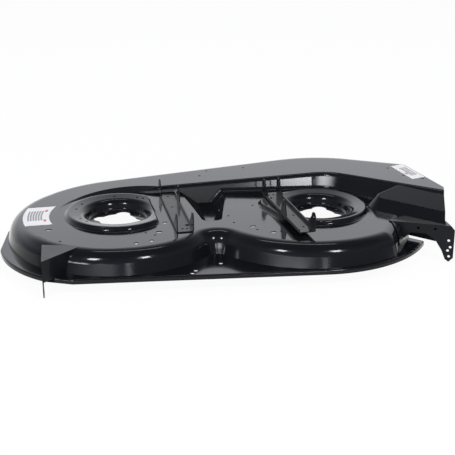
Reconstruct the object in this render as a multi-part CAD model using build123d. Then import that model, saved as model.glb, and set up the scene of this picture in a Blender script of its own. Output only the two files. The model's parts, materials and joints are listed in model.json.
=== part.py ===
from build123d import *
import math
import os

# Side-discharge mower deck, in millimetres. X is the mower's right, Y its front, Z up.
# Plan positions start at the left spindle axis and heights at the rim; the parts are
# moved at the end so that the middle of the underside is the origin.

# sheet, and how far the cutters reach past the deck
SHEET = 3.0
FAR = 3000.0

# spindles
LEFT = (0.0, 0.0)
RIGHT = (536.0, -69.0)

# pan: two round lobes joined by a straight front, with a flat cut at the right rear
DRAFT = 16.0
LOBE_L = 296.5
LOBE_R = 321.5
LOBE_R_AT = (515.0, -35.0)
CUSP_AT = (230.0, -190.0)
CUSP_ROUND = 26.0
CHORD_IN = 29.7
CHORD_BEARING = 56.7
CHORD_ROUND = 60.0
PLATEAU = 68.0
PAN_ROUND = 40.0

# turned-out flange and its lip, which hangs from the edges behind RIM_BACK or left of RIM_LEFT
LIP = 12.0
LIP_ROUND = 4.5
FLANGE_FRONT = (-292.0, 75.0)
FLANGE_SIDE = (-314.0, -53.0)
FLANGE_MID = (-276.0, -182.0)
FLANGE_BACK = (-212.0, -259.0)
FLANGE_CORNER = (-145.0, -291.0)
FLANGE_REAR = (484.0, -363.0)
FLANGE_TURN = (640.0, -341.0)
FLANGE_END = (790.0, -219.0)
FLANGE_INSIDE = ((740.0, -180.0), (0.0, -60.0), (-240.0, 60.0))
FLANGE_ROUND = 40.0
FLANGE_CORNER_ROUND = 20.0
FLANGE_REAR_ROUND = 90.0
RIM_BACK = -225.0
RIM_LEFT = -255.0
RIM_OUT = 285.0

# spindle bosses, their dishes and the lobed spindle holes
BOSS_RISE = 12.0
BOSS_SINK = 8.0
BOSS_TOP_R = 134.0
BOSS_RIGHT_LESS = 4.0
BOSS_RIGHT_TOP_R = BOSS_TOP_R - BOSS_RIGHT_LESS
BOSS_DRAFT = 22.0
BOSS_ROUND = 5.0
BOSS_FOOT_ROUND = 9.0
BOSS_FLAT = 92.0
BOSS_FLAT_CORNER = 26.0
PAD_R = 62.0
PAD_AT = (-84.0, 42.0)
DISH_DEPTH = 30.0
DISH_FLOOR_R = 80.0
DISH_TOP_R = 90.0
DISH_EDGE_IN = 7.0
DISH_FALL = 6.5
DISH_MOUTH = 22.0
DISH_ROOT = 7.0
HOLE_CORE_R = 50.0
HOLE_LOBE_R = 19.0
HOLE_LOBE_TIP = 67.0
HOLE_TURN = 67.0
HOLE_ROUND = 9.0
BOLT_PCD = 134.0
BOLT_HOLE_R = 4.5

# tunnel roof, rising to the right above the plateau, with a step behind it
ROOF_DRAFT = 15.0
ROOF_TALL = 160.0
ROOF_OVER_LEFT = 77.0
ROOF_SLOPE = math.degrees(math.atan(0.058))
ROOF_ROUND = 40.0
ROOF_FRONT = 347.0
ROOF_FRONT_AT = (520.0, -37.0)
ROOF_TURN = 52.0
ROOF_RUN = 330.0
STEP_ROUND = 13.0
STEP_FOOT_ROUND = 12.0
STEP_CLEAR = 6.0
STEP_RING = BOSS_TOP_R + STEP_CLEAR
STEP_BEARING = -6.9
STEP_LEFT_END = 168.0
STEP_BEND = 95.0
STEP_PAST_CLEAR = 9.13
STEP_PAST_BEARING = -48.0
STEP_PAST_RUN = 480.0
RAMP = 21.0
RAMP_GAP = 1.0

# where the roof's outer edges part from the edges of its step
SPLIT_AT = (560.0, 190.0)
SPLIT_FALL = 0.85
STEP_SPAN = (-120.0, 880.0)

# tier beside the right boss, below the roof: a nose between its ridge and its back
TIER = 98.0
TIER_TALL = 60.0
TIER_BELOW = 4.0
TIER_LOW = 20.0
TIER_UNDER = 10.0
TIER_DRAFT = 40.0
TIER_SLOPE = 15.0
TIER_ROUND = 5.0
TIER_CORNER = 42.0
TIER_RIGHT = 1000.0
TIER_EDGE_END = (850.0, -20.0)
RIDGE_AT = (685.0, -88.0)
RIDGE_BEARING = -47.0
RIDGE_RUN = 380.0
RIDGE_BACK_BEARING = 25.5
RIDGE_BACK_RUN = 200.0

# pocket between the bosses
POCKET_FLOOR = 38.0
POCKET_FLOOR_PLAN = ((238.0, 190.0), (288.0, 190.0), (272.0, 20.0), (257.0, -28.0), (236.0, -28.0))
POCKET_FLOOR_ROUND = 8.0
POCKET_RIM_PLAN = ((192.0, 190.0), (318.0, 190.0), (303.0, 52.0), (264.0, -106.0), (214.0, -106.0))
POCKET_RIM_ROUND = 20.0
POCKET_EDGE_ROUND = 10.0
POCKET_GROWTH = 0.8

# holes in the sheet
PUNCH_R = 3.4
WIDE_PUNCH_R = 6.0
SLOT_LONG = 17.0
SLOT_WIDE = 10.0
PLATEAU_HOLES = ((54.0, -158.0), (75.0, -178.0), (368.0, -12.0), (286.0, -80.0), (290.0, -132.0),
                 (338.0, -194.0), (394.0, -222.0), (-164.0, -172.0))
PLATEAU_WIDE_HOLES = ((113.0, -95.0), (21.0, -224.0), (61.0, -214.0))
PLATEAU_SLOTS = ((88.0, -158.0), (332.0, -169.0), (374.0, -221.0), (-188.0, -86.0))
ROOF_HOLES = ((260.0, 200.0), (287.0, 236.0), (395.0, 224.0), (784.0, 66.0), (803.0, -8.0),
              (842.0, -54.0))
FLANGE_HOLES = ((735.0, -253.0), (754.0, -235.0))
FLANGE_WIDE_HOLES = ((158.0, -294.0), (147.0, -309.0), (228.0, -262.0))
RING_HOLES_R = 112.0
LEFT_RING_HOLES = (45.0, 55.0, 88.0, 143.0, 164.0, 204.0, 218.0)
RIGHT_RING_HOLES = (-102.0, -83.0, -48.0)

# suspension brackets; holes in the base are placed from its front end or its rear end
CHANNEL_LONG = 312.0
CHANNEL_WIDE = 45.0
CHANNEL_WALL = 11.0
CHANNEL_BEND = 4.0
CHANNEL_FRONT_HOLES = ((-11.0, 8.0), (-2.0, 36.0), (-5.0, 123.0))
CHANNEL_REAR_HOLES = ((-4.0, 20.0), (8.0, 20.0))
CHANNEL_REAR_SLOT = (12.0, 44.0)
EAR_TALL = 48.0
EAR_TOP_R = 13.0
EAR_FOOT = 62.0
LEFT_EAR_BACK = 65.0
RIGHT_EAR_BACK = 112.0
PIN_R = 5.0
PIN_UP = EAR_TALL - EAR_TOP_R
LEFT_CHANNEL_AT = (153.5, -21.0)
RIGHT_CHANNEL_AT = (439.0, -117.0)
RIGHT_CHANNEL_TURN = 183.6

# wheel bracket at the rear left
WHEEL_X = -207.0
WHEEL_NEAR = -294.0
WHEEL_FAR = -186.0
WHEEL_RIGHT = (-113.0, -206.0)
WHEEL_TURN = -3.5
WHEEL_TAB = 27.0
WHEEL_DROP = 33.0
WHEEL_PLATE_LOW = 14.0
AXLE_R = 6.5

# discharge bracket, drawn from the left end of its shelf; heights from the rim
SHELF_LEFT = (690.0, -207.0)
SHELF_BEARING = -27.0
SHELF = ((0.0, 0.0), (161.0, 0.0), (138.0, 46.0), (44.0, 52.0), (6.0, 12.0))
FACE_TOP = ((4.0, PLATEAU + SHEET), (161.0, PLATEAU + SHEET), (172.0, 59.0))
FACE_TAB = ((172.0, -17.0), (161.0, -29.0), (151.0, -22.0), (141.0, 2.0), (124.0, 28.0))
FACE_LOW = ((100.0, 44.0), (60.0, 44.0), (36.0, 20.0), (4.0, 20.0))
TAB_HOLE_R = 3.6
TAB_HOLES = ((158.0, 30.0), (163.0, 12.0), (157.0, 2.0), (161.0, -14.0))
FACE_HOLES = ((78.0, 58.0), (122.0, 59.0))
LEG_AT = (705.5, -272.5)
LEG_SIZE = (21.0, 135.0)
LEG_LOW = 27.0

# discharge opening: the line along which the sheet is trimmed
TRIM_EDGE = ((790.0, 400.0), (826.0, 160.0), (868.0, -138.0), (824.0, -262.0), (824.0, -520.0))


def polar(centre, r, degrees):
    """The plan point at a distance and bearing from another."""
    a = math.radians(degrees)
    return (centre[0] + r * math.cos(a), centre[1] + r * math.sin(a))


def tangent(c1, r1, c2, r2, side=1):
    """Ends of the tangent of two circles on their front side, or with side -1 on the other."""
    span = math.hypot(c2[0] - c1[0], c2[1] - c1[1])
    turn = math.atan2(c2[1] - c1[1], c2[0] - c1[0]) + side * math.acos((r1 - r2) / span)
    return [polar(c, r, math.degrees(turn)) for c, r in ((c1, r1), (c2, r2))]


def crossing(p, p_bearing, q, q_bearing):
    """Where two plan lines given by a point and a bearing meet."""
    a = math.radians(p_bearing)
    b = math.radians(q_bearing)
    along = ((q[0] - p[0]) * math.sin(b) - (q[1] - p[1]) * math.cos(b)) / math.sin(b - a)
    return polar(p, along, p_bearing)


def outline(*points):
    """Flat face inside a closed line of straight runs."""
    return make_face(Polyline(*points, close=True))


def corner(plan, spot):
    """The corner of a plan nearest to a point."""
    return plan.vertices().sort_by_distance((*spot, 0))[0]


def discs(spots, r):
    """Round holes of one radius, as a sketch."""
    return Sketch() + [Pos(*spot) * Circle(r) for spot in spots]


def grown(plan, s, draft):
    """A plan whose drafted wall moves out by s, or in when s is below zero."""
    return offset(plan, s / math.cos(math.radians(draft)), kind=Kind.INTERSECTION) if s else plan


def top_of(solid):
    """The largest flat face that looks up."""
    flats = [f for f in solid.faces().filter_by(GeomType.PLANE) if f.normal_at().Z > 0.9]
    return max(flats, key=lambda f: f.area)


def join(block, piece, r):
    """Adds a piece and rounds the corner that its foot makes with the block."""
    whole = block + piece
    return fillet(new_edges(block, piece, combined=whole), r)


def step_bend(inset):
    """Plan point at the rim where the two straight runs of the step, moved by inset, would meet."""
    step = polar(LEFT, STEP_RING + inset, STEP_BEARING + 90)
    past = polar(RIGHT, BOSS_RIGHT_TOP_R + STEP_PAST_CLEAR + inset, STEP_PAST_BEARING + 90)
    return crossing(step, STEP_BEARING, past, STEP_PAST_BEARING)


def join_tunnel(block, tunnel, r):
    """Adds the tunnel and rounds the foot of its step, which runs on both ways from the round bend."""
    whole = block + tunnel
    feet = new_edges(block, tunnel, combined=whole)
    reach = PLATEAU * math.tan(math.radians(ROOF_DRAFT))
    return fillet(feet.sort_by_distance((*step_bend(reach), PLATEAU))[0], r)


def pan(s):
    """Solid pan, inset by s: 0 for the outside of the sheet, SHEET for the inside."""
    inset = s / math.cos(math.radians(DRAFT))
    left = LOBE_L - inset
    right = LOBE_R - inset
    ends = tangent(LEFT, left, LOBE_R_AT, right)
    plan = Circle(left) + Pos(*LOBE_R_AT) * Circle(right) + outline(LEFT, *ends, LOBE_R_AT)
    plan = fillet(corner(plan, CUSP_AT), CUSP_ROUND + inset)
    middle = polar(LOBE_R_AT, right - CHORD_IN, CHORD_BEARING - 90)
    half = math.sqrt(CHORD_IN * (2 * right - CHORD_IN))
    past = Rectangle(right, 4 * half, align=(Align.MIN, Align.CENTER))
    plan -= Pos(*middle) * Rot(0, 0, CHORD_BEARING - 90) * past
    ends = [polar(middle, run, CHORD_BEARING) for run in (-half, half)]
    plan = fillet([corner(plan, end) for end in ends], CHORD_ROUND - inset)
    solid = extrude(plan, PLATEAU - s, taper=DRAFT)
    return fillet(top_of(solid).edges(), PAN_ROUND - s)


def roof_front(inset):
    """Plan of the tunnel's outside at the rim, moved in by inset and closed past the step."""
    left = LOBE_L - inset
    front = ROOF_FRONT - inset
    ends = tangent(LEFT, left, ROOF_FRONT_AT, front)
    turn = polar(ROOF_FRONT_AT, front, ROOF_TURN)
    out = polar(turn, ROOF_RUN, ROOF_TURN - 90)
    past = polar(step_bend(inset), STEP_PAST_RUN, STEP_PAST_BEARING)
    plan = Circle(left) + Pos(*ROOF_FRONT_AT) * Circle(front)
    return plan + outline(LEFT, *ends, ROOF_FRONT_AT) + outline(ROOF_FRONT_AT, turn, out, past)


def roof_well(inset):
    """Plan at the rim of the space behind the step, moved out by inset."""
    ring = STEP_RING + inset
    step = polar(LEFT, ring, STEP_BEARING + 90)
    bend = step_bend(inset)
    past = polar(bend, STEP_PAST_RUN, STEP_PAST_BEARING)
    left = polar(LEFT, ring, STEP_LEFT_END)
    far = polar(LEFT, 2 * LOBE_L, STEP_LEFT_END)
    plan = outline(LEFT, step, bend, past, (past[0], -FAR), (far[0], -FAR), far, left)
    plan = fillet(corner(plan, bend), STEP_BEND + inset)
    return plan + Circle(ring)


def is_front(edge):
    """True for top edges of the roof on the outside of the tunnel."""
    p = edge @ 0.5
    return p.X < STEP_SPAN[1] and p.Y > SPLIT_AT[1] - max(0.0, p.X - SPLIT_AT[0]) * SPLIT_FALL


def is_step(edge):
    """True for top edges of the roof along its step."""
    return not is_front(edge) and STEP_SPAN[0] < (edge @ 0.5).X < STEP_SPAN[1]


def above_roof(s):
    """All the space above the roof's slope, lowered by s, as the solid that is taken away."""
    space = Box(FAR, FAR, FAR, align=(Align.CENTER, Align.CENTER, Align.MIN))
    return Pos(0, 0, ROOF_OVER_LEFT - s) * Rot(0, -ROOF_SLOPE, 0) * space


def roof(s):
    """The tunnel as a solid, inset by s, with its top cut along the slope."""
    inset = s / math.cos(math.radians(ROOF_DRAFT))
    solid = extrude(roof_front(inset), ROOF_TALL, taper=ROOF_DRAFT)
    solid -= extrude(roof_well(inset), ROOF_TALL, taper=-ROOF_DRAFT)
    solid -= above_roof(s)
    solid = fillet(top_of(solid).edges().filter_by(is_front), ROOF_ROUND - s)
    return fillet(top_of(solid).edges().filter_by(is_step), STEP_ROUND - s)


def ramp(s):
    """Space above the gentle rise from the left boss to the roof, as the solid that is taken away."""
    wall_foot = STEP_RING + PLATEAU * math.tan(math.radians(ROOF_DRAFT)) + RAMP_GAP
    foot = wall_foot + s * math.tan(math.radians(RAMP / 2))
    spread = ROOF_TALL / math.tan(math.radians(RAMP))
    cone = Cone(foot, foot + spread, ROOF_TALL, align=(Align.CENTER, Align.CENTER, Align.MIN))
    return Pos(*LEFT, PLATEAU - s) * cone


def tier(s):
    """Ledge under the roof; its rear wall hangs past the lobe to the top of the opening."""
    reach = (TIER - PLATEAU) * math.tan(math.radians(TIER_DRAFT))
    rear = polar(RIDGE_AT, reach, RIDGE_BEARING - 90)
    back = polar(RIDGE_AT, reach, RIDGE_BACK_BEARING + 90)
    nose = crossing(rear, RIDGE_BEARING, back, RIDGE_BACK_BEARING)
    past = polar(nose, RIDGE_RUN, RIDGE_BEARING)
    inside = polar(nose, RIDGE_BACK_RUN, RIDGE_BACK_BEARING)
    plan = outline(nose, past, (TIER_RIGHT, past[1]), (TIER_RIGHT, inside[1]), inside)
    plan = fillet(corner(plan, nose), TIER_CORNER)
    solid = Pos(0, 0, PLATEAU) * extrude(grown(plan, -s, TIER_DRAFT), TIER_TALL, taper=TIER_DRAFT)
    above = Box(FAR, FAR, FAR, align=(Align.CENTER, Align.CENTER, Align.MIN))
    top = TIER - s / math.cos(math.radians(TIER_SLOPE))
    solid -= Pos(*RIDGE_AT, top) * Rot(0, 0, RIDGE_BEARING) * Rot(TIER_SLOPE, 0, 0) * above
    edges = top_of(solid).edges()
    edges = [e for e in edges if (e @ 0.5).X < TIER_EDGE_END[0] and (e @ 0.5).Y < TIER_EDGE_END[1]]
    solid = fillet(edges, TIER_ROUND - s) - above_roof(s + TIER_BELOW)
    low = -TIER_UNDER if s else TIER_LOW
    return solid + Pos(0, 0, low) * extrude(grown(plan, -s, 0), PLATEAU - low)


def boss_plans(s):
    """Plans of the left and right bosses where they leave the plateau, inset by s."""
    slope = math.radians(BOSS_DRAFT)
    spread = (BOSS_RISE + BOSS_SINK) * math.tan(slope) - s / math.cos(slope)
    left = Circle(BOSS_TOP_R + spread)
    left -= Pos(BOSS_FLAT + spread, 0) * Rectangle(FAR, FAR, align=(Align.MIN, Align.CENTER))
    left = fillet(left.vertices(), BOSS_FLAT_CORNER - s)
    ring = BOSS_RIGHT_TOP_R + spread
    pad = PAD_R + spread
    ends = tangent((0, 0), ring, PAD_AT, pad) + tangent((0, 0), ring, PAD_AT, pad, -1)[::-1]
    right = Circle(ring) + Pos(*PAD_AT) * Circle(pad) + outline(*ends)
    return left, Pos(*RIGHT) * right


def boss(plan, s):
    """A drafted boss with a rounded top edge, sunk into the plateau."""
    solid = extrude(plan, BOSS_RISE + BOSS_SINK, taper=BOSS_DRAFT)
    solid = fillet(top_of(solid).edges(), BOSS_ROUND - s)
    return Pos(0, 0, PLATEAU - BOSS_SINK - s) * solid


def dish(at, boss_r, s):
    """Seat of a spindle, as the solid that is taken away: a shallow cone and then a steep wall."""
    rim = PLATEAU + BOSS_RISE - s
    over = rim + DISH_DEPTH
    floor = rim - DISH_DEPTH
    grow = s / math.cos(math.atan((DISH_TOP_R - DISH_FLOOR_R) / DISH_DEPTH))
    root = (DISH_FLOOR_R + grow, floor)
    mouth = (DISH_TOP_R + grow, rim - DISH_FALL)
    edge = boss_r - DISH_EDGE_IN
    half = outline((0, floor), root, mouth, (edge, rim), (edge, over), (0, over))
    half = fillet(corner(half, root), DISH_ROOT + s)
    half = fillet(corner(half, mouth), DISH_MOUTH - s)
    return Pos(*at) * revolve(Plane.XZ * half, Axis.Z)


def pocket(s):
    """Sloped pocket between the bosses, as the solid that is taken away."""
    floor = fillet(outline(*POCKET_FLOOR_PLAN).vertices(), POCKET_FLOOR_ROUND)
    rim = fillet(outline(*POCKET_RIM_PLAN).vertices(), POCKET_RIM_ROUND)
    if s:
        floor = offset(floor, POCKET_GROWTH * s)
        rim = offset(rim, POCKET_GROWTH * s)
    rim = Pos(0, 0, PLATEAU - s) * rim
    return loft([Pos(0, 0, POCKET_FLOOR - s) * floor, rim]) + extrude(rim, BOSS_RISE)


def is_rim(edge):
    """True for the flange edges that the lip hangs from."""
    p = edge @ 0.5
    return math.hypot(p.X, p.Y) > RIM_OUT and (p.Y < RIM_BACK or p.X < RIM_LEFT)


def flange(s):
    """The flange and its lip as a solid plate, closed across the inside of the pan."""
    edges = [
        Line(FLANGE_FRONT, FLANGE_SIDE),
        ThreePointArc(FLANGE_SIDE, FLANGE_MID, FLANGE_BACK),
        Polyline(FLANGE_BACK, FLANGE_CORNER, FLANGE_REAR),
        ThreePointArc(FLANGE_REAR, FLANGE_TURN, FLANGE_END),
        Polyline(FLANGE_END, *FLANGE_INSIDE, FLANGE_FRONT),
    ]
    plan = make_face(edges)
    plan = fillet([corner(plan, FLANGE_SIDE), corner(plan, FLANGE_BACK)], FLANGE_ROUND)
    plan = fillet(corner(plan, FLANGE_CORNER), FLANGE_CORNER_ROUND)
    plan = fillet(corner(plan, FLANGE_REAR), FLANGE_REAR_ROUND)
    solid = extrude(grown(plan, -s, 0), LIP - s)
    return fillet(top_of(solid).edges().filter_by(is_rim), LIP_ROUND - s)


def body(s):
    """The deck as a solid block, inset by s."""
    block = pan(s) - pocket(s)
    block = fillet(top_of(block).inner_wires()[0].edges(), POCKET_EDGE_ROUND - s)
    for plan in boss_plans(s):
        block = join(block, boss(plan, s), BOSS_FOOT_ROUND + s)
    block = join_tunnel(block, roof(s) - ramp(s), STEP_FOOT_ROUND + s)
    block += tier(s)
    block += flange(s)
    return block - dish(LEFT, BOSS_TOP_R, s) - dish(RIGHT, BOSS_RIGHT_TOP_R, s)


def spindle_hole(at):
    """Four-lobed hole with a bolt hole between each two lobes."""
    lobes = [polar((0, 0), HOLE_LOBE_TIP - HOLE_LOBE_R, HOLE_TURN + 90 * i) for i in range(4)]
    bolts = [polar((0, 0), BOLT_PCD / 2, HOLE_TURN + 45 + 90 * i) for i in range(4)]
    hole = Circle(HOLE_CORE_R) + discs(lobes, HOLE_LOBE_R)
    hole = fillet(hole.vertices(), HOLE_ROUND) + discs(bolts, BOLT_HOLE_R)
    return Pos(*at, POCKET_FLOOR) * extrude(hole, DISH_DEPTH)


def small_holes():
    """Cutters for the punched holes and slots of the sheet."""
    spots = [*PLATEAU_HOLES, *ROOF_HOLES, *FLANGE_HOLES]
    spots += [polar(LEFT, RING_HOLES_R, a) for a in LEFT_RING_HOLES]
    spots += [polar(RIGHT, RING_HOLES_R, a) for a in RIGHT_RING_HOLES]
    plan = discs(spots, PUNCH_R) + discs(PLATEAU_WIDE_HOLES + FLANGE_WIDE_HOLES, WIDE_PUNCH_R)
    plan += [Pos(*spot) * SlotOverall(SLOT_LONG, SLOT_WIDE) for spot in PLATEAU_SLOTS]
    return extrude(plan, ROOF_TALL)


def deck_shell(block):
    """The drawn sheet: the block less its inside, its spindle holes and its punched holes."""
    shell = block - body(SHEET)
    shell -= spindle_hole(LEFT) + spindle_hole(RIGHT)
    return shell - small_holes()


def ear(y, back, ahead):
    """One ear in the plane of a channel wall, with feet reaching back and ahead of its middle."""
    foot = outline((y - back, 0), (y + ahead, 0), (y + EAR_TOP_R, PIN_UP), (y - EAR_TOP_R, PIN_UP))
    return foot + Pos(y, PIN_UP) * Circle(EAR_TOP_R)


def channel(setback):
    """Suspension channel: ears at both ends of one wall, one ear of the other wall set back."""
    half = CHANNEL_LONG / 2
    side = CHANNEL_WIDE / 2
    end = half - EAR_TOP_R
    long_foot = EAR_FOOT - EAR_TOP_R
    inner_ear = end - setback
    strip = Pos(0, CHANNEL_WALL / 2) * Rectangle(CHANNEL_LONG, CHANNEL_WALL)
    near = ear(-end, EAR_TOP_R, long_foot)
    outer = strip + near + ear(end, long_foot, EAR_TOP_R)
    inner = strip + near + ear(inner_ear, 2 * EAR_TOP_R, 2 * EAR_TOP_R)
    outer -= discs(((-end, PIN_UP), (end, PIN_UP)), PIN_R)
    inner -= discs(((-end, PIN_UP), (inner_ear, PIN_UP)), PIN_R)
    part = Pos(-side, 0, 0) * extrude(Plane.YZ * outer, SHEET)
    part += Pos(side - SHEET, 0, 0) * extrude(Plane.YZ * inner, SHEET)
    part += Pos(0, 0, SHEET / 2) * Box(CHANNEL_WIDE, CHANNEL_LONG, SHEET)
    low = part.edges().filter_by(Axis.Y).group_by(Axis.Z)[0]
    low = [e for e in low if abs((e @ 0.5).X) > side - SHEET / 2]
    part = fillet(low, CHANNEL_BEND)
    spots = [(x, half - y) for x, y in CHANNEL_FRONT_HOLES] + [(x, y - half) for x, y in CHANNEL_REAR_HOLES]
    holes = discs(spots, PUNCH_R)
    holes += Pos(CHANNEL_REAR_SLOT[0], CHANNEL_REAR_SLOT[1] - half) * Circle(WIDE_PUNCH_R)
    return part - extrude(holes, 2 * SHEET)


def wheel_bracket(block):
    """Folded gusset: top flange, fore-aft plate with the wheel tab, and the plate across its corner."""
    near = (WHEEL_X, WHEEL_NEAR)
    top = extrude(outline(near, WHEEL_RIGHT, (WHEEL_X, WHEEL_FAR)), -SHEET)
    tab = WHEEL_TAB / 2
    hub = (WHEEL_NEAR + tab, tab - WHEEL_DROP)
    side = outline((WHEEL_NEAR, PLATEAU), (WHEEL_NEAR, hub[1]), (WHEEL_NEAR + WHEEL_TAB, hub[1]),
                   (WHEEL_NEAR + WHEEL_TAB, WHEEL_PLATE_LOW), (WHEEL_FAR, WHEEL_PLATE_LOW),
                   (WHEEL_FAR, PLATEAU))
    side += Pos(*hub) * Circle(tab)
    side -= Pos(*hub) * Circle(AXLE_R)
    plate = Pos(WHEEL_X - SHEET, 0, 0) * extrude(Plane.YZ * side, SHEET)
    run = math.hypot(WHEEL_RIGHT[0] - WHEEL_X, WHEEL_RIGHT[1] - WHEEL_NEAR)
    turn = math.degrees(math.atan2(WHEEL_RIGHT[1] - WHEEL_NEAR, WHEEL_RIGHT[0] - WHEEL_X))
    web = Box(run, SHEET, PLATEAU - LIP, align=(Align.MIN, Align.MIN, Align.MIN))
    web = Pos(*near, LIP) * Rot(0, 0, turn) * web
    fold = Box(SHEET, WHEEL_FAR - WHEEL_NEAR, SHEET, align=(Align.MAX, Align.MIN, Align.MAX))
    bracket = Pos(0, 0, PLATEAU) * top + plate + web + Pos(*near, PLATEAU) * fold
    hinge = Pos(WHEEL_X, WHEEL_FAR, 0)
    return hinge * Rot(0, 0, WHEEL_TURN) * hinge.inverse() * bracket - block


def discharge_bracket(block):
    """Angle across the rear of the discharge opening, with its hanging tab and the leg on the lobe."""
    face = outline(*FACE_TOP, *FACE_TAB, *FACE_LOW) - discs(TAB_HOLES + FACE_HOLES, TAB_HOLE_R)
    angle = Pos(0, 0, PLATEAU) * extrude(outline(*SHELF), SHEET) + extrude(Plane.XZ * face, SHEET)
    angle = Pos(*SHELF_LEFT) * Rot(0, 0, SHELF_BEARING) * angle
    leg = Pos(*LEG_AT, LEG_LOW) * extrude(Rectangle(*LEG_SIZE), PLATEAU)
    return angle + (pan(-SHEET) & leg) - block


def make_parts():
    """Every piece of the deck by name, in the plan's own frame."""
    trim = outline(*TRIM_EDGE, (FAR, TRIM_EDGE[-1][1]), (FAR, TRIM_EDGE[0][1]))
    block = body(0) - extrude(trim, 2 * ROOF_TALL, both=True)
    right_at = Pos(*RIGHT_CHANNEL_AT, PLATEAU + BOSS_RISE) * Rot(0, 0, RIGHT_CHANNEL_TURN)
    return {
        "deck_shell": deck_shell(block),
        "left_suspension_bracket": Pos(*LEFT_CHANNEL_AT, PLATEAU) * channel(LEFT_EAR_BACK),
        "right_suspension_bracket": right_at * channel(RIGHT_EAR_BACK),
        "wheel_bracket": wheel_bracket(block),
        "discharge_bracket": discharge_bracket(block),
    }


def main():
    parts = make_parts()
    box = Compound(list(parts.values())).bounding_box()
    home = Pos(-box.center().X, -box.center().Y, -box.min.Z)
    os.makedirs("parts", exist_ok=True)
    for name, part in parts.items():
        export_step(home * part, f"parts/{name}.step")


if __name__ == "__main__":
    main()
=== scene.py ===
"""Looks of the mower deck: gloss black paint on the sheet metal, two blank stickers and a white studio."""

import json
import math

import bmesh
import bpy
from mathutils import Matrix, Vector
from mathutils.bvhtree import BVHTree


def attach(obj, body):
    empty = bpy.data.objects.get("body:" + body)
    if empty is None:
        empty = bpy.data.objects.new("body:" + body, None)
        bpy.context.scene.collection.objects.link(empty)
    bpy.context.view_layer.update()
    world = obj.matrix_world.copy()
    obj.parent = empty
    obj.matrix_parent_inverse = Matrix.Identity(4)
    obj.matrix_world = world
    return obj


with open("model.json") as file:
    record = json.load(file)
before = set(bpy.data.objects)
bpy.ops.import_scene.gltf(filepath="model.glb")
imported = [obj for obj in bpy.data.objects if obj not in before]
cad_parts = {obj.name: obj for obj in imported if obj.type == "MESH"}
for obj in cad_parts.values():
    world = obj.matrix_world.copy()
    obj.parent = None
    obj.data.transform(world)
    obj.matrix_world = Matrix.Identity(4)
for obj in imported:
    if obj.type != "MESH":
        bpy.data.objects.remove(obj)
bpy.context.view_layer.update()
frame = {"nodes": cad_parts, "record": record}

bl_info = {
    "name": "Mower Deck Looks",
    "version": (1, 0, 0),
    "blender": (4, 5, 0),
    "location": "View3D > Sidebar > Mower Deck",
    "description": "Paint, stickers and studio for a stamped mower deck",
    "category": "Object",
}

PAINT_PROP, STICKER_PROP, STUDIO_PROP = "deck_paint", "deck_stickers", "deck_studio"

# Places on the deck are metres from the left spindle axis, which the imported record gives.
MOUNT_PLACES = {mount["name"]: Vector(mount["pos_m"]) for mount in frame["record"]["mounts"]}
LEFT_SPINDLE = MOUNT_PLACES["left_spindle_bolts"]
OVER_SEAT = 0.25                    # height over the spindle seat that a sticker is dropped from
DOWN = Vector((0.0, 0.0, -1.0))

# Paint: sizes of its blotches in metres, and shares of the colour and roughness in the settings.
CLOUD_SIZE, CLOUD_LIGHTER = 0.09, 1.35
HAZE_SIZE, HAZE_LOW, HAZE_HIGH = 0.05, 0.9, 1.15
NOISE_MIDDLE = (0.3, 0.7)           # range that most of a noise lies in

# Sticker film: sizes of its blotches in metres, and how far they go.
MOTTLE_SIZE, MOTTLE_DARKER = 0.012, 0.93
SATIN_SIZE, SATIN_ROUGHNESS = 0.004, (0.36, 0.46)

# Stickers as cells, across and along: how many, and which of them hold the bars and the red fields.
PAPER, GREY, RED = range(3)
LEFT_CELLS, LEFT_BARS = (30, 28), (range(5, 22), range(7, 22))
LEFT_RED = (range(23, 26), (*range(5, 8), *range(20, 23)))
ROOF_CELLS, ROOF_BARS = (14, 36), (range(4, 12), range(8, 28))
ROOF_RED = (range(2, 4), range(12, 16))
BAR_PITCH, BAR_GAP = 3, 1           # of each three lines of cells, the one that is left as paper

# Studio: places are a bearing from the front to the right and a height, in degrees as seen from the deck.
LAMP_REACH = 6.0                    # metres from the deck to each lamp
LEFT_SOFTBOX, RIGHT_SOFTBOX, SOFTBOX_SIZE = (-40.0, 44.0), (22.0, 45.0), (0.75, 1.0)
FAR_STRIP, STRIP_SIZE = (168.0, 70.0), (3.0, 0.5)
FRONT_CARD, FRONT_CARD_HALF = (3.0, 12.6), (4.0, 3.2)
LEFT_CARD, LEFT_CARD_HALF = (-34.0, 12.8), (34.0, 3.4)
CARD_FADE = (0.3, 1.0)              # where a card starts to fade and where it ends, in half sizes
WALL_TINT = (0.935, 0.95, 1.0, 1.0)
WALL_TURN = (0.0, 0.85)             # backward shares of a direction: where the near wall ends, all backdrop
WALL_LIFT, LIFT_SHARES = (15.0, 25.0), (0.8, 1.16)  # heights between which a wall brightens, and how far
CEILING_FALL = (26.0, 60.0)         # heights between which a wall darkens to the ceiling
FLOOR_RADIUS, FLOOR_SEGMENTS = 60.0, 96
FLOOR_PAPER = (0.95, 0.95, 0.95, 1.0)
FLOOR_WHITE = 0.94                  # share of plain white in what seen rays find on the floor
IMAGE_WIDTH = 455
VIEW_END = 100.0                    # metres, past the floor's edge


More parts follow.
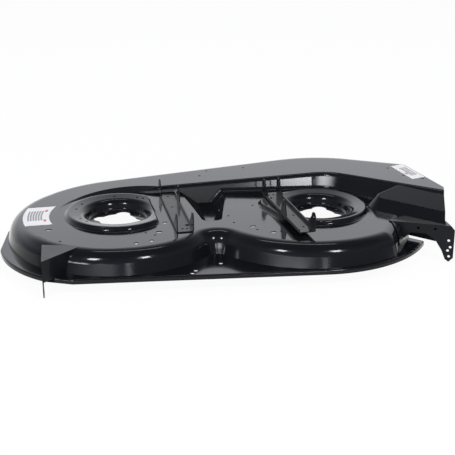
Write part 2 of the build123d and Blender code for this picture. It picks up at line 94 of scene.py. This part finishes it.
class PaintSettings(bpy.types.PropertyGroup):
    """Colour and gloss of the black paint"""
    colour: bpy.props.FloatVectorProperty(
        name="Paint", description="Colour of the black paint", subtype="COLOR", size=3,
        default=(0.0045, 0.0047, 0.0062), min=0.0, max=1.0)
    gloss: bpy.props.FloatProperty(
        name="Roughness", description="Middle roughness of the paint on the shell", subtype="FACTOR",
        default=0.13, min=0.0, max=1.0)
    bracket_gloss: bpy.props.FloatProperty(
        name="Bracket roughness", description="Middle roughness of the thinner paint on the brackets",
        subtype="FACTOR", default=0.34, min=0.0, max=1.0)
    ior: bpy.props.FloatProperty(
        name="IOR", description="Refraction of the paint on the shell", default=1.2, min=1.0, max=2.5)
    bracket_ior: bpy.props.FloatProperty(
        name="Bracket IOR", description="Refraction of the paint on the brackets",
        default=1.16, min=1.0, max=2.5)
    coat_gloss: bpy.props.FloatProperty(
        name="Skin roughness", description="Roughness of the smooth skin that the paint dries with",
        subtype="FACTOR", default=0.09, min=0.0, max=1.0)
    peel: bpy.props.FloatProperty(
        name="Peel size", description="Size of the ripples that the sprayed film dries with", unit="LENGTH",
        default=0.004, min=0.0005)
    peel_depth: bpy.props.FloatProperty(
        name="Peel depth", description="Depth of those ripples", unit="LENGTH", default=0.000008, min=0.0)


class StickerSettings(bpy.types.PropertyGroup):
    """Colours, sizes and places of the two stickers"""
    paper: bpy.props.FloatVectorProperty(
        name="Paper", description="Colour of the sticker", subtype="COLOR", size=3,
        default=(0.74, 0.74, 0.75), min=0.0, max=1.0)
    ink: bpy.props.FloatVectorProperty(
        name="Grey field", description="Colour of the grey bars", subtype="COLOR", size=3,
        default=(0.24, 0.24, 0.25), min=0.0, max=1.0)
    accent: bpy.props.FloatVectorProperty(
        name="Red field", description="Colour of the small red fields", subtype="COLOR", size=3,
        default=(0.5, 0.05, 0.05), min=0.0, max=1.0)
    thickness: bpy.props.FloatProperty(
        name="Thickness", description="Thickness of the film", unit="LENGTH", default=0.0003, min=0.00005)
    inner_r: bpy.props.FloatProperty(
        name="Inner radius", description="Left sticker's inner edge, from the spindle axis", unit="LENGTH",
        default=0.182)
    outer_r: bpy.props.FloatProperty(
        name="Outer radius", description="Left sticker's outer edge, from the spindle axis", unit="LENGTH",
        default=0.2505)
    rear: bpy.props.FloatProperty(
        name="Rear end", description="Left sticker's rear end, from the spindle axis", unit="LENGTH",
        default=-0.046)
    front: bpy.props.FloatProperty(
        name="Front end", description="Left sticker's front end, from the spindle axis", unit="LENGTH",
        default=0.090)
    roof_centre: bpy.props.FloatVectorProperty(
        name="Roof sticker", description="Middle of the right sticker in plan, from the spindle axis",
        subtype="TRANSLATION", size=2, default=(0.8245, 0.018))
    roof_size: bpy.props.FloatVectorProperty(
        name="Roof sticker size", description="Width and length of the right sticker", unit="LENGTH", size=2,
        default=(0.038, 0.126))
    roof_turn: bpy.props.FloatProperty(
        name="Roof sticker turn", description="Turn of the right sticker in plan", subtype="ANGLE",
        default=math.radians(8.0))


class StudioSettings(bpy.types.PropertyGroup):
    """Camera, and brightness of the walls, lamps and cards"""
    focal_px: bpy.props.FloatProperty(
        name="Focal length", description="Focal length in pixels of the square picture", default=1050.0)
    eye: bpy.props.FloatVectorProperty(
        name="Eye", description="Place of the camera", subtype="TRANSLATION", unit="LENGTH", size=3,
        default=(-0.5385, -2.6173, 1.0744))
    azimuth: bpy.props.FloatProperty(
        name="Azimuth", description="Bearing that the camera looks along, from the front to the right",
        subtype="ANGLE", default=math.radians(12.0))
    elevation: bpy.props.FloatProperty(
        name="Elevation", description="How far the camera looks down", subtype="ANGLE",
        default=math.radians(21.0))
    backdrop: bpy.props.FloatProperty(
        name="Backdrop", description="Brightness of the studio wall behind the deck", default=1.42, min=0.0)
    near_wall: bpy.props.FloatProperty(
        name="Near wall", description="Brightness of the studio wall behind the camera", default=0.3, min=0.0)
    ceiling: bpy.props.FloatProperty(
        name="Ceiling", description="Brightness of the ceiling as a share of the walls", default=0.18, min=0.0)
    softbox: bpy.props.FloatProperty(
        name="Softboxes", description="Brightness of the two lamps beside the camera", unit="POWER",
        default=140.0)
    strip: bpy.props.FloatProperty(
        name="Strip lamp", description="Brightness of the long lamp over the far side", unit="POWER",
        default=28.0)
    front_card: bpy.props.FloatProperty(
        name="Front card", description="Brightness of the low card that the step mirrors",
        default=70.0, min=0.0)
    left_card: bpy.props.FloatProperty(
        name="Left card", description="Brightness of the low card that the step's bend mirrors",
        default=40.0, min=0.0)


def shader(name):
    """A new material, its node tree and its surface shader."""
    material = bpy.data.materials.new(name)
    material.use_nodes = True
    tree = material.node_tree
    return material, tree, tree.nodes["Principled BSDF"]


def noise(tree, size, detail=2.0):
    """Noise whose blotches are about size metres across, in the piece's own coordinates."""
    place = tree.nodes.new("ShaderNodeTexCoord")
    texture = tree.nodes.new("ShaderNodeTexNoise")
    texture.inputs["Scale"].default_value = 1.0 / size
    texture.inputs["Detail"].default_value = detail
    tree.links.new(place.outputs["Object"], texture.inputs["Vector"])
    return texture.outputs["Fac"]


def graded(tree, source, before, after, smooth=False):
    """A value taken from one range to another, along a straight line or a smooth S."""
    scale = tree.nodes.new("ShaderNodeMapRange")
    scale.interpolation_type = "SMOOTHSTEP" if smooth else "LINEAR"
    ends = ("From Min", "From Max", "To Min", "To Max")
    for end, value in zip(ends, (*before, *after)):
        scale.inputs[end].default_value = value
    tree.links.new(source, scale.inputs["Value"])
    return scale.outputs["Result"]


def joined(tree, operation, first, second):
    """Two values joined by a sum, a product or a maximum."""
    node = tree.nodes.new("ShaderNodeMath")
    node.operation = operation
    tree.links.new(first, node.inputs[0])
    tree.links.new(second, node.inputs[1])
    return node.outputs["Value"]


def between(tree, source, first, second):
    """A colour between two, by a factor."""
    ramp = tree.nodes.new("ShaderNodeValToRGB")
    ramp.color_ramp.elements[0].color = (*first, 1.0)
    ramp.color_ramp.elements[1].color = (*second, 1.0)
    tree.links.new(source, ramp.inputs["Fac"])
    return ramp.outputs["Color"]


def gloss_paint(name, settings, gloss, ior):
    """Black paint, sprayed: faint clouds in its colour and gloss, a smooth skin and a fine peel."""
    material, tree, surface = shader(name)
    lighter = [channel * CLOUD_LIGHTER for channel in settings.colour]
    cloud = between(tree, noise(tree, CLOUD_SIZE), settings.colour, lighter)
    tree.links.new(cloud, surface.inputs["Base Color"])
    haze = graded(tree, noise(tree, HAZE_SIZE), NOISE_MIDDLE, (gloss * HAZE_LOW, gloss * HAZE_HIGH))
    tree.links.new(haze, surface.inputs["Roughness"])
    surface.inputs["IOR"].default_value = ior
    surface.inputs["Coat Weight"].default_value = 1.0
    surface.inputs["Coat IOR"].default_value = ior
    surface.inputs["Coat Roughness"].default_value = settings.coat_gloss
    peel = tree.nodes.new("ShaderNodeBump")
    peel.inputs["Distance"].default_value = settings.peel_depth
    tree.links.new(noise(tree, settings.peel, detail=1.0), peel.inputs["Height"])
    tree.links.new(peel.outputs["Normal"], surface.inputs["Normal"])
    return material


def printed(name, colour):
    """Satin sticker film in one printed colour, a little uneven."""
    material, tree, surface = shader(name)
    darker = [channel * MOTTLE_DARKER for channel in colour]
    mottle = between(tree, noise(tree, MOTTLE_SIZE), darker, colour)
    tree.links.new(mottle, surface.inputs["Base Color"])
    satin = graded(tree, noise(tree, SATIN_SIZE), NOISE_MIDDLE, SATIN_ROUGHNESS)
    tree.links.new(satin, surface.inputs["Roughness"])
    return material


def inside(area, across, along):
    """Whether a sticker's cell lies in an area of columns and rows."""
    columns, rows = area
    return across in columns and along in rows


def film(name, cells, place, field):
    """Lays a sticker on the shell: place gives the plan of a cell's corner, field the colour of a cell."""
    settings = getattr(bpy.context.scene, STICKER_PROP)
    carrier = BVHTree.FromObject(frame["nodes"]["deck_shell"], bpy.context.evaluated_depsgraph_get())
    columns, rows = cells
    mesh = bmesh.new()
    bmesh.ops.create_grid(mesh, x_segments=columns, y_segments=rows, size=0.5)
    for face in mesh.faces:
        middle = face.calc_center_median()
        across, along = (math.floor((middle[axis] + 0.5) * count) for axis, count in enumerate(cells))
        face.material_index = field(across, along)
    for vertex in mesh.verts:
        x, y = place(vertex.co.x + 0.5, vertex.co.y + 0.5)
        spot = carrier.ray_cast(LEFT_SPINDLE + Vector((x, y, OVER_SEAT)), DOWN)[0]
        if spot is None:
            raise RuntimeError(f"{name} reaches past the sheet")
        vertex.co = spot
    bmesh.ops.recalc_face_normals(mesh, faces=mesh.faces)
    if sum(face.normal.z for face in mesh.faces) < 0.0:
        bmesh.ops.reverse_faces(mesh, faces=mesh.faces)
    bmesh.ops.solidify(mesh, geom=mesh.faces, thickness=-settings.thickness)
    data = bpy.data.meshes.new(name)
    mesh.to_mesh(data)
    mesh.free()
    prints = {"paper": settings.paper, "grey_print": settings.ink, "red_print": settings.accent}
    for finish, colour in prints.items():
        data.materials.append(bpy.data.materials.get(finish) or printed(finish, colour))
    piece = bpy.data.objects.new(name, data)
    bpy.context.scene.collection.objects.link(piece)
    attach(piece, "root")


class DECK_OT_paint(bpy.types.Operator):
    """Paints the shell and its brackets"""
    bl_idname = "deck.paint"
    bl_label = "Paint"

    def execute(self, context):
        settings = getattr(context.scene, PAINT_PROP)
        shell = gloss_paint("shell_black_paint", settings, settings.gloss, settings.ior)
        bracket = gloss_paint("bracket_black_paint", settings, settings.bracket_gloss, settings.bracket_ior)
        for name, node in frame["nodes"].items():
            node.data.materials.clear()
            node.data.materials.append(shell if name == "deck_shell" else bracket)
        return {"FINISHED"}


class DECK_OT_left_sticker(bpy.types.Operator):
    """Lays the curved sticker on the left lobe"""
    bl_idname = "deck.left_sticker"
    bl_label = "Left Sticker"

    def execute(self, context):
        settings = getattr(context.scene, STICKER_PROP)

        def place(across, along):
            y = settings.rear + (settings.front - settings.rear) * along
            r = settings.outer_r + (settings.inner_r - settings.outer_r) * across
            return -math.sqrt(r * r - y * y), y

        def field(across, along):
            if inside(LEFT_RED, across, along):
                return RED
            bar = inside(LEFT_BARS, across, along) and across % BAR_PITCH != BAR_GAP
            return GREY if bar else PAPER

        film("left_sticker", LEFT_CELLS, place, field)
        return {"FINISHED"}


class DECK_OT_roof_sticker(bpy.types.Operator):
    """Lays the straight sticker at the right end of the roof"""
    bl_idname = "deck.roof_sticker"
    bl_label = "Roof Sticker"

    def execute(self, context):
        settings = getattr(context.scene, STICKER_PROP)
        middle = settings.roof_centre
        width, length = settings.roof_size
        turn = settings.roof_turn

        def place(across, along):
            x, y = (across - 0.5) * width, (along - 0.5) * length
            return (middle[0] + x * math.cos(turn) - y * math.sin(turn),
                    middle[1] + x * math.sin(turn) + y * math.cos(turn))

        def field(across, along):
            if inside(ROOF_RED, across, along):
                return RED
            bar = inside(ROOF_BARS, across, along) and along % BAR_PITCH != BAR_GAP
            return GREY if bar else PAPER

        film("roof_sticker", ROOF_CELLS, place, field)
        return {"FINISHED"}


def towards(bearing, height):
    """The direction from the deck to a place in the studio."""
    a, e = math.radians(bearing), math.radians(height)
    return Vector((math.sin(a) * math.cos(e), -math.cos(a) * math.cos(e), math.sin(e)))


def sines(angles):
    """Sines of angles in degrees: of a height, the upward share of its direction."""
    return [math.sin(math.radians(angle)) for angle in angles]


def lamp(name, place, size, power):
    """An area lamp at a place in the studio, facing the deck."""
    away = towards(*place)
    data = bpy.data.lights.new(name, "AREA")
    data.shape = "RECTANGLE"
    data.size, data.size_y = size
    data.energy = power
    light = bpy.data.objects.new(name, data)
    light.location = away * LAMP_REACH
    light.rotation_euler = away.to_track_quat("Z", "Y").to_euler()
    bpy.context.scene.collection.objects.link(light)


def soft_card(tree, way, place, half_size, strength):
    """A glow with soft edges on the studio wall, with its half sizes across and up in degrees."""
    bearing, height = place
    ahead, across = towards(bearing, height), towards(bearing + 90.0, 0.0)
    wide, tall = sines(half_size)
    off = tree.nodes.new("ShaderNodeVectorMath")
    off.operation = "SUBTRACT"
    off.inputs[1].default_value = ahead
    tree.links.new(way, off.inputs[0])
    steps = tree.nodes.new("ShaderNodeCombineXYZ")
    for axis, socket in zip((across / wide, across.cross(ahead) / tall, ahead), steps.inputs):
        along = tree.nodes.new("ShaderNodeVectorMath")
        along.operation = "DOT_PRODUCT"
        along.inputs[1].default_value = axis
        tree.links.new(off.outputs["Vector"], along.inputs[0])
        tree.links.new(along.outputs["Value"], socket)
    far = tree.nodes.new("ShaderNodeVectorMath")
    far.operation = "LENGTH"
    tree.links.new(steps.outputs["Vector"], far.inputs[0])
    return graded(tree, far.outputs["Value"], CARD_FADE, (strength, 0.0), smooth=True)


def studio_walls(settings):
    """World: pale walls, brighter behind the deck, under a darker ceiling, with two low cards in front."""
    world = bpy.data.worlds.new("studio")
    bpy.context.scene.world = world
    world.use_nodes = True
    tree = world.node_tree
    way = tree.nodes.new("ShaderNodeTexCoord").outputs["Generated"]
    shares = tree.nodes.new("ShaderNodeSeparateXYZ")
    tree.links.new(way, shares.inputs["Vector"])
    back, up = shares.outputs["Y"], shares.outputs["Z"]
    fall = graded(tree, up, sines(CEILING_FALL), (1.0, settings.ceiling), smooth=True)
    lift = graded(tree, up, sines(WALL_LIFT), LIFT_SHARES)
    side = graded(tree, back, WALL_TURN, (settings.near_wall, settings.backdrop))
    glow = joined(tree, "MULTIPLY", joined(tree, "MULTIPLY", fall, lift), side)
    front = soft_card(tree, way, FRONT_CARD, FRONT_CARD_HALF, settings.front_card)
    left = soft_card(tree, way, LEFT_CARD, LEFT_CARD_HALF, settings.left_card)
    glow = joined(tree, "ADD", joined(tree, "ADD", glow, front), left)
    background = tree.nodes["Background"]
    background.inputs["Color"].default_value = WALL_TINT
    tree.links.new(glow, background.inputs["Strength"])


def seen_rays(tree):
    """1 for rays that are seen: straight from the camera, in a gloss or through glass."""
    path = tree.nodes.new("ShaderNodeLightPath")
    mirrored = joined(tree, "MAXIMUM", path.outputs["Is Camera Ray"], path.outputs["Is Glossy Ray"])
    return joined(tree, "MAXIMUM", mirrored, path.outputs["Is Transmission Ray"])


def white_floor():
    """Floor: white to seen rays, with a little left to the light so that a soft shadow stays."""
    material, tree, surface = shader("white_floor")
    tree.nodes.remove(surface)
    paper = tree.nodes.new("ShaderNodeBsdfDiffuse")
    paper.inputs["Color"].default_value = FLOOR_PAPER
    white = tree.nodes.new("ShaderNodeEmission")
    mix = tree.nodes.new("ShaderNodeMixShader")
    tree.links.new(graded(tree, seen_rays(tree), (0.0, 1.0), (0.0, FLOOR_WHITE)), mix.inputs["Fac"])
    tree.links.new(paper.outputs["BSDF"], mix.inputs[1])
    tree.links.new(white.outputs["Emission"], mix.inputs[2])
    tree.links.new(mix.outputs["Shader"], tree.nodes["Material Output"].inputs["Surface"])
    return material


class DECK_OT_studio(bpy.types.Operator):
    """Sets the floor, walls, lamps and camera"""
    bl_idname = "deck.studio"
    bl_label = "Studio"

    def execute(self, context):
        settings = getattr(context.scene, STUDIO_PROP)
        mesh = bmesh.new()
        bmesh.ops.create_circle(mesh, cap_ends=True, segments=FLOOR_SEGMENTS, radius=FLOOR_RADIUS)
        data = bpy.data.meshes.new("floor")
        mesh.to_mesh(data)
        mesh.free()
        data.materials.append(white_floor())
        floor = bpy.data.objects.new("floor", data)
        context.scene.collection.objects.link(floor)

        studio_walls(settings)
        lamp("left_softbox", LEFT_SOFTBOX, SOFTBOX_SIZE, settings.softbox)
        lamp("right_softbox", RIGHT_SOFTBOX, SOFTBOX_SIZE, settings.softbox)
        lamp("far_strip", FAR_STRIP, STRIP_SIZE, settings.strip)

        camera = bpy.data.objects.new("camera", bpy.data.cameras.new("camera"))
        context.scene.collection.objects.link(camera)
        camera.data.lens = settings.focal_px / IMAGE_WIDTH * camera.data.sensor_width
        camera.data.clip_end = VIEW_END
        camera.location = settings.eye
        camera.rotation_euler = (math.pi / 2 - settings.elevation, 0.0, -settings.azimuth)
        context.scene.camera = camera
        context.scene.view_settings.view_transform = "Standard"
        return {"FINISHED"}


class DECK_PT_looks(bpy.types.Panel):
    """Sidebar panel of the deck's looks"""
    bl_idname = "DECK_PT_looks"
    bl_label = "Mower Deck"
    bl_space_type = "VIEW_3D"
    bl_region_type = "UI"
    bl_category = "Mower Deck"

    def draw(self, context):
        for prop, group in GROUPS:
            settings = getattr(context.scene, prop)
            for name in group.__annotations__:
                self.layout.prop(settings, name)
        for operator in OPERATORS:
            self.layout.operator(operator.bl_idname)


GROUPS = ((PAINT_PROP, PaintSettings), (STICKER_PROP, StickerSettings), (STUDIO_PROP, StudioSettings))
OPERATORS = (DECK_OT_paint, DECK_OT_left_sticker, DECK_OT_roof_sticker, DECK_OT_studio)


def register():
    """Registers the settings, the operators and the panel."""
    for prop, group in GROUPS:
        bpy.utils.register_class(group)
        setattr(bpy.types.Scene, prop, bpy.props.PointerProperty(type=group))
    for cls in (*OPERATORS, DECK_PT_looks):
        bpy.utils.register_class(cls)


def unregister():
    """Takes them out again, in the opposite order."""
    for cls in (DECK_PT_looks, *reversed(OPERATORS)):
        bpy.utils.unregister_class(cls)
    for prop, group in reversed(GROUPS):
        delattr(bpy.types.Scene, prop)
        bpy.utils.unregister_class(group)


def main():
    """Dresses the deck and sets the stage."""
    register()
    bpy.ops.deck.paint()
    bpy.ops.deck.left_sticker()
    bpy.ops.deck.roof_sticker()
    bpy.ops.deck.studio()


if __name__ == "__main__":
    main()
